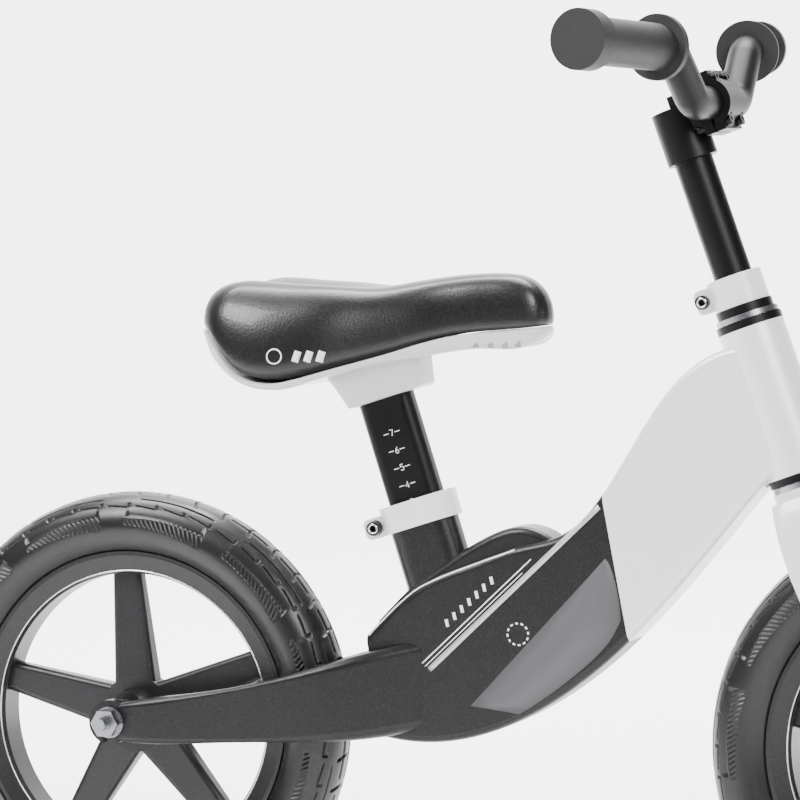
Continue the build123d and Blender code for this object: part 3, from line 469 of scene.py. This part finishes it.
strokes = {
    1: [(-0.9, 1.2), (0.2, 2.1), (0.2, -2.1)],
    2: [(-1.1, 1.1), (-0.5, 2.0), (0.5, 2.1), (1.1, 1.3), (0.9, 0.4), (-1.2, -2.0), (1.3, -2.0)],
    3: [(-1.1, 2.0), (1.1, 2.0), (0.0, 0.5), (1.0, 0.1), (1.2, -0.9)]
    + [(0.6, -1.9), (-0.4, -2.0), (-1.2, -1.3)],
    4: [(0.6, -2.1), (0.6, 2.1), (-1.3, -0.8), (1.4, -0.8)],
    5: [(1.1, 2.0), (-0.8, 2.0), (-1.0, 0.3), (0.3, 0.6), (1.2, -0.3)]
    + [(0.9, -1.6), (-0.2, -2.0), (-1.2, -1.5)],
    6: [(0.8, 2.0), (-0.6, 0.4), (-1.1, -0.9), (-0.5, -2.0), (0.6, -2.0)]
    + [(1.2, -1.0), (0.6, 0.1), (-0.8, 0.0)],
    7: [(-1.2, 2.0), (1.2, 2.0), (-0.2, -2.1)],
}


def ink_stroke(name, line, height):
    """A thin printed line on the post's right face, through (across, up) points about a height."""
    rows = ribbon(line, 0.52)
    points = []
    for proud in (0.005, 0.03):
        points += [on_post(a, height + u, proud) for row in rows for a, u in (row[0], row[2])]
    n = len(rows)
    faces = []
    for i in range(n - 1):
        a, b, c, d = 2 * i, 2 * i + 1, 2 * i + 3, 2 * i + 2
        faces += [(a, b, c, d), (a + 2 * n, d + 2 * n, c + 2 * n, b + 2 * n)]
        faces += [(a, d, d + 2 * n, a + 2 * n), (b, b + 2 * n, c + 2 * n, c)]
    faces += [(0, 2 * n, 2 * n + 1, 1), (2 * n - 2, 2 * n - 1, 4 * n - 1, 4 * n - 2)]
    tidy_normals(mesh_piece(name, points, faces, ink, "seat", False))


for number, line in strokes.items():
    height = (number - 3) * MARK_PITCH - 1.4
    ink_stroke(f"scale_numeral_{number}", line, height)
    ink_stroke(f"scale_dash_{number}_rear", [(-5.9, 0), (-2.2, 0)], height)
    ink_stroke(f"scale_dash_{number}_front", [(2.2, 0), (5.9, 0)], height)

# ---- Saddle pad ----
# Polyurethane skinned over foam in one mould, with a pebbled leather grain. Two raised lobes at
# the back leave a channel down the middle, and a deep skirt hangs over the base.
def at_x(table, x):
    """A height read from a smooth curve of (ahead, up) points."""
    curve = smooth_through(table, 10)
    return float(np.interp(x, [p[0] for p in curve], [p[1] for p in curve]))


SPINE_REAR, SPINE_FRONT = -165.0, -12.0
half_plan = [(16, 0), (14, 9), (4, 18), (-30, 23.5), (-62, 29), (-96, 44), (-130, 61), (-165, 69)]
half_plan += [(-195, 65), (-211, 51), (-216, 36), (-213, 18), (-208, 0)]
skirt = [(-218, 420), (-211, 416), (-203, 409), (-188, 392), (-176, 385.5), (-159, 383.5), (-141, 387)]
skirt += [(-121, 393), (-88, 402.8), (-63, 411), (-40, 416), (1, 420), (20, 422.5)]
crest = [(-218, 446), (-205, 449), (-180, 449.5), (-150, 448), (-120, 448), (-96, 448.5), (-72, 451.5)]
crest += [(-47, 455), (-23, 456.5), (-6, 455.5), (8, 452), (20, 447)]
right_half = smooth_through(half_plan, 8)
outline = [tuple(p) for p in right_half] + [(p[0], -p[1]) for p in right_half[-2:0:-1]]
DOME_POWER = 3.1
PEBBLE_MM = 1.2


def saddle_top(x, y):
    rear = min(max((-70 - x) / 70, 0), 1)
    rear = rear * rear * (3 - 2 * rear)
    lobe = math.exp(-(((abs(y) - 43) / 20) ** 2)) * 5.0 - math.exp(-((y / 20) ** 2)) * 6.0
    return at_x(crest, x) + rear * lobe


def pad_point(x, y, share):
    """A point on the pad: share is 0 on the spine and 1 at the skirt's edge."""
    spine = min(max(x, SPINE_REAR), SPINE_FRONT)
    px, py = spine + share * (x - spine), share * y
    low = at_x(skirt, x)
    rise = (1 - share**DOME_POWER) ** (1 / DOME_POWER)
    return px, py, low + (saddle_top(px, py) - low) * rise


def walls(rings, count):
    """Faces between rings of points that follow one another."""
    made = []
    for r in range(rings - 1):
        for j in range(count):
            k = (j + 1) % count
            made.append((r * count + j, r * count + k, (r + 1) * count + k, (r + 1) * count + j))
    return made


def saddle_skin(rings):
    """Faces of a closed skin over rings of the saddle's outline, with strips across both ends."""
    made = walls(rings, count)
    half = len(right_half)
    for first in (0, (rings - 1) * count):
        for j in range(half - 1):
            a, b = first + j, first + j + 1
            c, d = first + (count - j - 1) % count, first + (count - j) % count
            made.append((first, b, c) if j == 0 else (a, b, d) if j == half - 2 else (a, b, c, d))
    return made


shares = [1 - (1 - t) ** 2.2 for t in np.linspace(0.0, 1.0, 26)]
count = len(outline)
points = [pad_point(x, y, share) for share in shares[1:] for x, y in outline]
points += [(x * 0.975 + -100 * 0.025, y * 0.94, at_x(skirt, x) + 0.6) for x, y in outline]
# Fine pebbles break the highlights of a dark skin that is otherwise satin.
grained, tree, shader, place = start_material("grained_polyurethane", IOR=1.5, Coat_Weight=0.1)
moulded_detail(tree, shader, place, ("#0b0b0c", "#101011"), 1.3, (0.3, 0.42), 0.1)
pebble_size = {"Vector": place, "Scale": 1 / (PEBBLE_MM * MM)}
pebble = add(tree, "ShaderNodeTexVoronoi", {"feature": "SMOOTH_F1"}, pebble_size)
pebbled = add(
    tree, "ShaderNodeBump", {}, {"Height": pebble.outputs["Distance"], "Distance": 0.14 * MM, "Strength": 0.6}
)
tree.links.new(shader.inputs["Normal"].links[0].from_socket, pebbled.inputs["Normal"])
tree.links.new(pebbled.outputs["Normal"], shader.inputs["Normal"])
pad = mesh_piece("saddle_cover", points, saddle_skin(len(shares)), grained, "seat")
tidy_normals(pad)
relax = pad.modifiers.new("relax", "SMOOTH")
relax.factor, relax.iterations = 0.5, 4
refine = pad.modifiers.new("refine", "SUBSURF")
refine.levels = refine.render_levels = 1
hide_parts("saddle_pad")

# ---- Saddle base ----
# Injection-moulded pale plastic, glossy. A rim follows the skirt, four translucent ribs stand on
# each side of the nose, and a tapered block below takes the seat post.
pale_plastic, tree, shader, place = start_material("moulded_pale_plastic", IOR=1.49, Subsurface_Weight=0.1)
shader.inputs["Subsurface Scale"].default_value = 2 * MM
shader.inputs["Subsurface Radius"].default_value = (1, 1, 1)
moulded_detail(tree, shader, place, ("#d3d4d6", "#c9cacd"), 1.2, (0.2, 0.3), 0.02)
rib_plastic, tree, shader, place = start_material("translucent_grey_plastic", IOR=1.49)
moulded_detail(tree, shader, place, ("#96979b", "#8b8c90"), 1.0, (0.25, 0.35), 0.02)

base_low = [(-218, 418), (-212, 412), (-206, 403), (-198, 395), (-181, 384), (-166, 380), (-148, 380.3)]
base_low += [(-126, 387.5), (-96, 396), (-65, 401.7), (-50, 404.3), (-29, 407)]
base_low += [(-5, 407), (12, 411), (18, 417)]


def base_ring(inset, height):
    ring = []
    for x, y in outline:
        toward = Vector((min(max(x, SPINE_REAR), SPINE_FRONT) - x, -y))
        toward = toward.normalized() * inset if toward.length > inset else toward * 0.5
        low, high = at_x(base_low, x), at_x(skirt, x) + 0.2
        ring.append((x + toward.x, y + toward.y, low + (high - low) * height))
    return ring


base_profile = [(0.9, 1.0), (0.1, 0.8), (0.2, 0.5), (1.2, 0.16), (3.6, 0.0), (16.0, 0.15)]
points = [p for inset, height in base_profile for p in base_ring(inset, height)]
base = mesh_piece("saddle_base_moulded", points, saddle_skin(len(base_profile)), pale_plastic, "seat")
tidy_normals(base)
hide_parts("saddle_base")

for hand in (-1, 1):
    for i, x in enumerate((-30, -20, -10.5, -2)):
        half_width = float(np.interp(-x, [-p[0] for p in right_half], [p[1] for p in right_half]))
        low, high = at_x(base_low, x) + 0.8, at_x(skirt, x) - 0.8
        points = []
        for z in (low, high):
            for dx, dy in ((-2.2, -1.6), (-1.7, 0.4), (1.7, 0.4), (2.2, -1.6)):
                points.append((x + dx, hand * (half_width - 1.0 + dy), z))
        faces = [(0, 1, 2, 3), (7, 6, 5, 4), (0, 4, 5, 1), (1, 5, 6, 2), (2, 6, 7, 3), (3, 7, 4, 0)]
        name = f"base_rib_{'left' if hand > 0 else 'right'}_{i + 1}"
        rib = mesh_piece(name, points, faces, rib_plastic, "seat", False)
        tidy_normals(rib)


def rounded_ring(long, wide, corner, ahead, up):
    """Corners of a rounded oblong across the seat post, set ahead of its axis."""
    ring = []
    for quarter, (sx, sy) in enumerate(((1, 1), (-1, 1), (-1, -1), (1, -1))):
        for a in np.linspace(quarter * 90, quarter * 90 + 90, 7):
            local_x = sx * (long / 2 - corner) + corner * math.cos(math.radians(a))
            local_y = sy * (wide / 2 - corner) + corner * math.sin(math.radians(a))
            p = on_post(ahead + local_x, up, 0)
            ring.append((p.x, local_y, p.z))
    return ring


# Long, wide, corner, ahead and up of each level of the block.
block = [(53, 30, 6, 4, 70), (56, 33, 7, 4, 70.6), (57, 34, 7.5, 4, 72)]
block += [(63, 39, 8, 3, 86), (71, 46, 9, 2, 100)]
rings = [rounded_ring(*row) for row in block]
width = len(rings[0])
points = [p for ring in rings for p in ring]
faces = [tuple(range(width)), tuple(range(len(points) - 1, len(points) - width - 1, -1))]
faces += walls(len(rings), width)
socket = mesh_piece("saddle_mounting_block", points, faces, pale_plastic, "seat")
tidy_normals(socket)

# ---- Saddle print ----
# A plain ring and three slanted bars in white ink. They are pad printed on both sides of the
# skirt, so they lie in a film on the curved skin and follow it.
skirt_skin = skin_of(pad)
ring = [(-155 + 4.8 * math.cos(a), 402 + 4.8 * math.sin(a)) for a in np.linspace(0, 2 * math.pi, 37)]
lay("print_ring", ribbon(ring, 0.9), skirt_skin, ink, "seat")
for i in range(3):
    foot = Vector((-141.5 + i * 7.5, 398.5))
    rows = ribbon(straight(foot, foot + Vector((2.2, 7)), 7), 4.4)
    lay(f"print_bar_{i + 1}", rows, skirt_skin, ink, "seat")

# ---- Grips ----
# Soft moulded rubber sleeves with close finger rings, a guard flange inside and a round safety
# end. They are pushed on over the bar ends, and the soft skin is matt.
soft_rubber, tree, shader, place = start_material("soft_grip_rubber", IOR=1.5)
moulded_detail(tree, shader, place, ("#18181a", "#202022"), 0.9, (0.5, 0.65), 0.08)
coat(soft_rubber, "grip_left", "grip_right")

# ---- Floor, light and camera ----
# A pale sweep of paper curves up behind the bike. Three square soft lamps light the bike, and a
# fourth lights the sweep.
sweep_mat, tree, shader, place = start_material("pale_sweep", Roughness=0.9)
shader.inputs["Base Color"].default_value = linear("#f4f4f4")
BEND_R = 1.2
bend = [(3.0 + BEND_R * math.sin(a), BEND_R - BEND_R * math.cos(a)) for a in np.linspace(0, math.pi / 2, 16)]
sweep = [(-8.0, 0.0)] + bend
sweep += [(4.2, 7.0)]
floor_mesh = bpy.data.meshes.new("studio_floor")
facing = math.radians(20)
deep = Vector((-math.sin(facing), math.cos(facing), 0))
broad = Vector((math.cos(facing), math.sin(facing), 0))
corners = [deep * d + broad * w + Vector((0, 0, z)) for d, z in sweep for w in (-9, 9)]
floor_mesh.from_pydata(corners, [], [(2 * i, 2 * i + 1, 2 * i + 3, 2 * i + 2) for i in range(len(sweep) - 1)])
floor_mesh.materials.append(sweep_mat)
floor_mesh.polygons.foreach_set("use_smooth", [True] * len(floor_mesh.polygons))
floor = bpy.data.objects.new("studio_floor", floor_mesh)
bpy.context.scene.collection.objects.link(floor)

world = bpy.data.worlds.new("studio")
bpy.context.scene.world = world
world.use_nodes = True
world.node_tree.nodes["Background"].inputs["Color"].default_value = (1, 1, 1, 1)
world.node_tree.nodes["Background"].inputs["Strength"].default_value = 0.2

# The point on the bike's middle plane that the lamps and the camera aim at.
AIM = Vector((-91.04, 0, 370.68)) * MM


def lamp(name, place_at, size, power, aim=AIM):
    data = bpy.data.lights.new(name, "AREA")
    data.shape, data.size, data.energy = "SQUARE", size, power
    lit = bpy.data.objects.new(name, data)
    lit.location = place_at
    lit.rotation_euler = (Vector(aim) - Vector(place_at)).to_track_quat("-Z", "Y").to_euler()
    bpy.context.scene.collection.objects.link(lit)


lamp("lamp_key", (-1.3, -1.5, 2.3), 1.1, 110)
lamp("lamp_fill", (1.9, -1.7, 1.9), 1.3, 80)
lamp("lamp_top", (0.1, 0.5, 2.5), 1.3, 62)
lamp("lamp_sweep", tuple(deep * 1.2 + Vector((0, 0, 3.0))), 2.5, 640, tuple(deep * 4.2 + Vector((0, 0, 0.8))))

AZIMUTH, ELEVATION, DISTANCE = math.radians(20), math.radians(3.6), 3.0
back = Vector(
    (
        math.sin(AZIMUTH) * math.cos(ELEVATION),
        -math.cos(AZIMUTH) * math.cos(ELEVATION),
        math.sin(ELEVATION),
    )
)
camera = bpy.data.objects.new("camera", bpy.data.cameras.new("camera"))
camera.data.lens, camera.data.sensor_width = 201.98, 36
camera.location = AIM + back * DISTANCE
camera.rotation_euler = back.to_track_quat("Z", "Y").to_euler()
bpy.context.scene.collection.objects.link(camera)
bpy.context.scene.camera = camera
